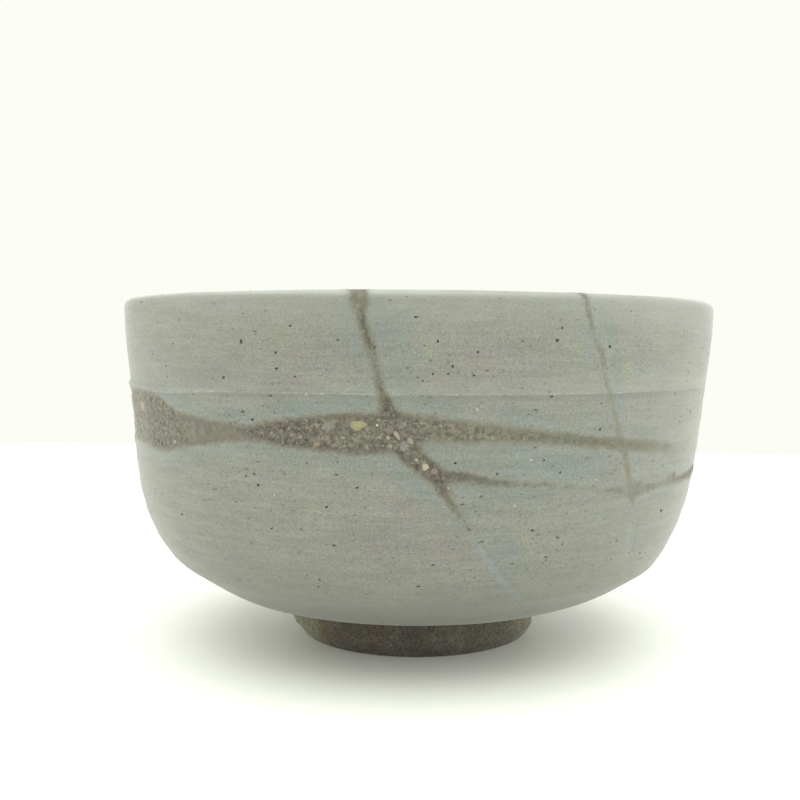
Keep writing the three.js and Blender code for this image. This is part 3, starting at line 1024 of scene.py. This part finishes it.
def on_bowl(row, column):
    """The point and the outward direction at a place of the grid, with fractions."""
    low_row, low_column = int(row), int(math.floor(column))
    up, across = row - low_row, column - low_column
    point, outward = np.zeros(3), np.zeros(3)
    for row_step, row_share in ((0, 1 - up), (1, up)):
        for column_step, column_share in ((0, 1 - across), (1, across)):
            corner = low_row + row_step, (low_column + column_step) % COLUMNS
            point += row_share * column_share * points[corner]
            outward += row_share * column_share * point_normals[corner]
    return point, outward / np.linalg.norm(outward)


def scattered(count, weight, chance):
    """Places of the grid picked at random, more of them where the weight is larger."""
    up = np.linalg.norm(np.gradient(plain_points, axis=0), axis=-1)
    across = grid_radius * np.gradient(ANGLES)
    likely = (up * across * weight).ravel()
    picks = chance.choice(likely.size, size=count, p=likely / likely.sum())
    rows, columns = np.unravel_index(picks, weight.shape)
    return list(zip(rows + chance.random(count), columns + chance.random(count)))


def lump_shape(subdivisions):
    """Vertices and faces of a rough ball of radius 1."""
    ball = bmesh.new()
    bmesh.ops.create_icosphere(ball, subdivisions=subdivisions, radius=1)
    vertices = np.array([vertex.co[:] for vertex in ball.verts])
    faces = [[vertex.index for vertex in face.verts] for face in ball.faces]
    ball.free()
    return vertices, faces


def lumps(name, seeds, material, chance, subdivisions, rough, smooth_shaded=False):
    """One mesh of small closed lumps. A seed is a place, half sizes round, up and out, a turn, how far out
    its middle lies and a colour."""
    ball, ball_faces = lump_shape(subdivisions)
    vertices, faces, tints = [], [], []
    for row, column, sizes, turn, out, colour in seeds:
        middle, outward = on_bowl(row, column)
        along = np.cross([0, 0, 1], outward)
        along = along / np.linalg.norm(along)
        upward = np.cross(outward, along)
        frame_here = np.stack([along * math.cos(turn) + upward * math.sin(turn),
                               upward * math.cos(turn) - along * math.sin(turn), outward])
        shape = ball * (1 + rough * chance.uniform(-1, 1, (len(ball), 1))) * np.array(sizes)
        start = len(vertices)
        vertices.extend(middle + outward * out + shape @ frame_here)
        faces.extend([start + index for index in face] for face in ball_faces)
        tints.extend([linear(colour)] * len(ball))
    made = new_object(name, vertices, faces, material)
    if not smooth_shaded:
        made.data.shade_flat()
    store_colour(made, "tint", tints)
    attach(made, BODY)


GRAIN_COLOURS = [
    (146, 139, 120), (116, 107, 92), (142, 141, 127), (136, 129, 123), (124, 120, 101), (100, 93, 80),
    (88, 82, 71), (126, 117, 108), (134, 133, 118), (166, 159, 138),
]
GRAIN_COUNT = 1500
GRAIN_SMALLEST = 0.12
GRAIN_SPREAD = 0.28
GRAIN_FLATNESS = 0.45
GRAIN_BROWNING = 0.25
STONE_HEIGHT = 0.3
STONE_SUNK = 0.1
SMALL_SPECK_COUNT = 900
SMALL_SPECK = 0.07
SMALL_SPECK_SPREAD = 0.13
WHITE_SPECK_COUNT = 60
SPECK_HEIGHT = 0.05
LARGE_SPECK_HEIGHT = 0.07
PALE_SPECK_HEIGHT = 0.06


def make_grit():
    """Stones and coarse sand that lie bare in the bands."""
    chance = np.random.default_rng(11)
    material = grain_material("bare_stones", 0.42)
    seeds = []
    for x, y, long, tall, turn, colour in STONES:
        seeds.append((*place(x, y), (long, tall, STONE_HEIGHT), math.radians(turn), -STONE_SUNK, colour))
    lumps("band_stones", seeds, material, chance, subdivisions=2, rough=0.16)
    seeds = []
    for row, column in scattered(GRAIN_COUNT, gritty ** 1.5, chance):
        size = GRAIN_SMALLEST + GRAIN_SPREAD * chance.random() ** 2
        paleness = pale[int(row), int(column) % COLUMNS]
        colour = np.array(GRAIN_COLOURS[chance.integers(len(GRAIN_COLOURS))]) * chance.uniform(0.92, 1.06)
        colour = colour + GRAIN_BROWNING * (np.array(CLAY_BROWN) - colour)
        colour = colour + 0.5 * paleness * (np.array(CLAY_PALE) - colour)
        sizes = (size * chance.uniform(0.7, 1.4), size * chance.uniform(0.7, 1.2), size * GRAIN_FLATNESS)
        seeds.append((row, column, sizes, chance.uniform(0, math.pi), -0.2 * size, colour))
    lumps("band_grit", seeds, material, chance, subdivisions=1, rough=0.3)


def make_specks():
    """Iron specks burnt through the glaze, and a few white ones."""
    chance = np.random.default_rng(5)
    seeds = []
    for x, y, long, tall, turn in LARGE_SPECKS:
        seeds.append((*place(x, y), (long, tall, LARGE_SPECK_HEIGHT), math.radians(turn), 0.0, SPECK))
    rows = np.arange(len(way_up))[:, None]
    crowding = 0.4 + smooth(-0.3, 0.4, noise_field(plain_points, 11, 8))
    glazed = smooth(0.3, 1.2, bare) * (rows > UNDERSIDE_ROW + 2) * (rows < LIP_ROW + 30) * crowding
    for row, column in scattered(SMALL_SPECK_COUNT, glazed, chance):
        size = SMALL_SPECK + SMALL_SPECK_SPREAD * chance.random() ** 3
        shade = chance.uniform(0.9, 1.9)
        sizes = (size * chance.uniform(1, 1.7), size, SPECK_HEIGHT)
        seeds.append((row, column, sizes, chance.normal(0, 0.35), 0.0, np.array(SPECK) * shade))
    for x, y, long in PALE_SPECKS:
        seeds.append((*place(x, y), (long, long * 0.7, PALE_SPECK_HEIGHT), 0.0, 0.0, WHITE_SPECK))
    for row, column in scattered(WHITE_SPECK_COUNT, glazed, chance):
        size = 0.08 + 0.1 * chance.random()
        sizes = (size * 1.4, size, SPECK_HEIGHT)
        seeds.append((row, column, sizes, chance.normal(0, 0.4), 0.0, WHITE_SPECK))
    material = grain_material("iron_and_ash_specks", 0.4)
    lumps("glaze_specks", seeds, material, chance, subdivisions=1, rough=0.3, smooth_shaded=True)


# Stage, light and camera

def plain_material(name, colour, roughness):
    shader = Shader(name)
    cloudy = shader.rise(shader.noise(shader.place(), 60, 3), 0.3, 0.7, 0, 0.02)
    tint = shader.mix(cloudy, linear(colour, 1), (0.5, 0.5, 0.5, 1))
    return shader.finish(**{"Base Color": tint, "Roughness": roughness})


FLOOR_HALF = 900.0
FLOOR_LEVEL = -0.02
BACK_EDGE_LEFT = 520.0
BACK_EDGE_RIGHT = 252.0


def make_stage():
    """A pale floor. The pale world behind it is the backdrop."""
    corners = [(-FLOOR_HALF, -FLOOR_HALF, FLOOR_LEVEL), (FLOOR_HALF, -FLOOR_HALF, FLOOR_LEVEL),
               (FLOOR_HALF, BACK_EDGE_RIGHT, FLOOR_LEVEL), (-FLOOR_HALF, BACK_EDGE_LEFT, FLOOR_LEVEL)]
    floor = new_object("floor", corners, [(0, 1, 2, 3)], plain_material("floor", FLOOR, 0.6))


SKY_LIGHT = 1.22


def make_world():
    """An even pale world, a little brighter as a light than it looks."""
    world = bpy.data.worlds.new("pale_studio")
    bpy.context.scene.world = world
    world.use_nodes = True
    tree = world.node_tree
    background = tree.nodes["Background"]
    background.inputs["Color"].default_value = linear(BACKDROP, 1)
    seen = tree.nodes.new("ShaderNodeLightPath").outputs["Is Camera Ray"]
    strength = tree.nodes.new("ShaderNodeMapRange")
    strength.inputs["To Min"].default_value = SKY_LIGHT
    strength.inputs["To Max"].default_value = 1.0
    tree.links.new(seen, strength.inputs["Value"])
    tree.links.new(strength.outputs["Result"], background.inputs["Strength"])


def area_light(name, place_mm, aim_mm, size_mm, power):
    light = bpy.data.lights.new(name, "AREA")
    light.shape = "RECTANGLE"
    light.size, light.size_y = (side * METRES for side in size_mm)
    light.energy = power
    made = linked(name, light)
    made.location = Vector(place_mm) * METRES
    direction = Vector(aim_mm) - Vector(place_mm)
    made.rotation_euler = direction.to_track_quat("-Z", "Y").to_euler()
    made.visible_camera = False


# Lights: name, place, what they point at, width and height in mm, power in watts
LIGHTS = [
    ("overhead", (0, -250, 900), (0, 0, 0), (1200, 1200), 5.2),
    ("left", (-800, -40, 330), (0, 0, 30), (700, 600), 1.15),
    ("right", (800, -40, 330), (0, 0, 30), (700, 600), 2.1),
    ("behind", (0, 900, 250), (0, 0, 0), (1200, 400), 1.1),
]


def make_camera():
    data = bpy.data.cameras.new("photo_camera")
    data.sensor_width = SENSOR
    data.lens = LENS
    data.clip_start, data.clip_end = 0.01, 10
    made = linked("photo_camera", data)
    made.location = Vector((0, -CAMERA_DISTANCE, CAMERA_HEIGHT)) * METRES
    made.rotation_euler = (math.pi / 2 - CAMERA_PITCH, 0, CAMERA_YAW)
    bpy.context.scene.camera = made


bowl = bowl_mesh(bowl_material())
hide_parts(NODE)
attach(bowl, BODY)
make_grit()
make_specks()

make_stage()
make_world()
for light in LIGHTS:
    area_light(*light)
make_camera()
bpy.context.scene.view_settings.view_transform = "Standard"
